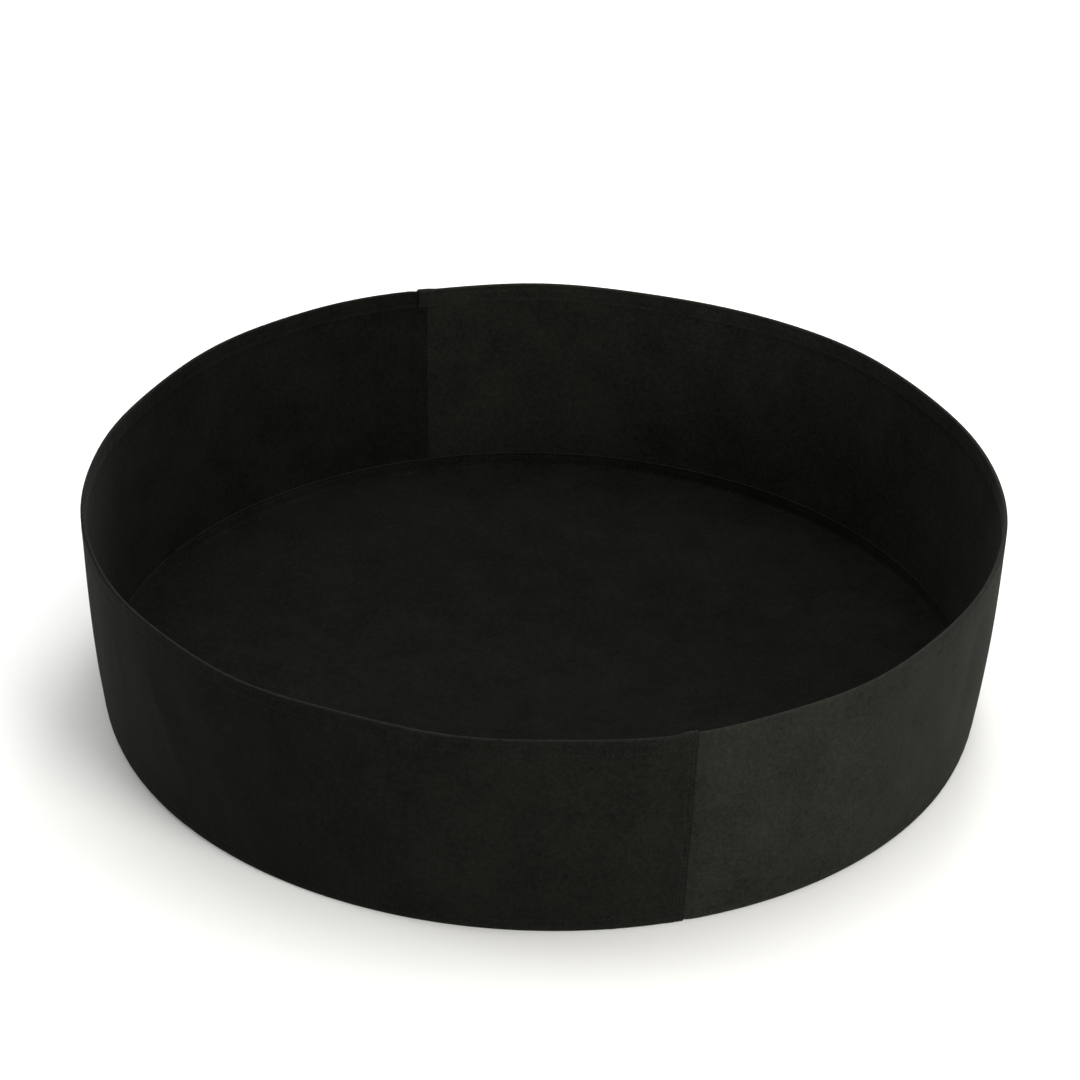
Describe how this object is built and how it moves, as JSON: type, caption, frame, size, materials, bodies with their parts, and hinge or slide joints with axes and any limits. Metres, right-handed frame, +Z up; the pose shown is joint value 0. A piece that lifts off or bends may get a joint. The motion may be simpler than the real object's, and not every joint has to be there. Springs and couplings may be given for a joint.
{
  "type": "fabric grow bag",
  "caption": "Low round raised bed of thick felt with an open top, a rim turned inwards, lapped side seams and a sewn-in flat floor.",
  "frame": {"origin": "centre of the bag's underside, on the ground", "axes": "+Z up through the open top, -Y towards the front, where one side seam stands 18 degrees to the right"},
  "size_m": [1.2702, 1.2706, 0.308],
  "materials": {
    "wall_felt": "black needle-punched felt",
    "floor_felt": "black needle-punched felt",
    "thread": "black bonded sewing thread"
  },
  "bodies": {
    "root": {"wall_panel_left": "wall_felt", "wall_panel_right": "wall_felt", "floor_panel": "floor_felt", "floor_panel_turned_edge": "floor_felt", "hem_upper_row_needle_thread": "thread", "hem_upper_row_bobbin_thread": "thread", "hem_lower_row_needle_thread": "thread", "hem_lower_row_bobbin_thread": "thread", "floor_lower_row_needle_thread": "thread", "floor_lower_row_bobbin_thread": "thread", "floor_upper_row_needle_thread": "thread", "floor_upper_row_bobbin_thread": "thread", "front_seam_edge_row_needle_thread": "thread", "front_seam_edge_row_bobbin_thread": "thread", "front_seam_inner_row_needle_thread": "thread", "front_seam_inner_row_bobbin_thread": "thread", "back_seam_edge_row_needle_thread": "thread", "back_seam_edge_row_bobbin_thread": "thread", "back_seam_inner_row_needle_thread": "thread", "back_seam_inner_row_bobbin_thread": "thread"}
  },
  "joints": []
}
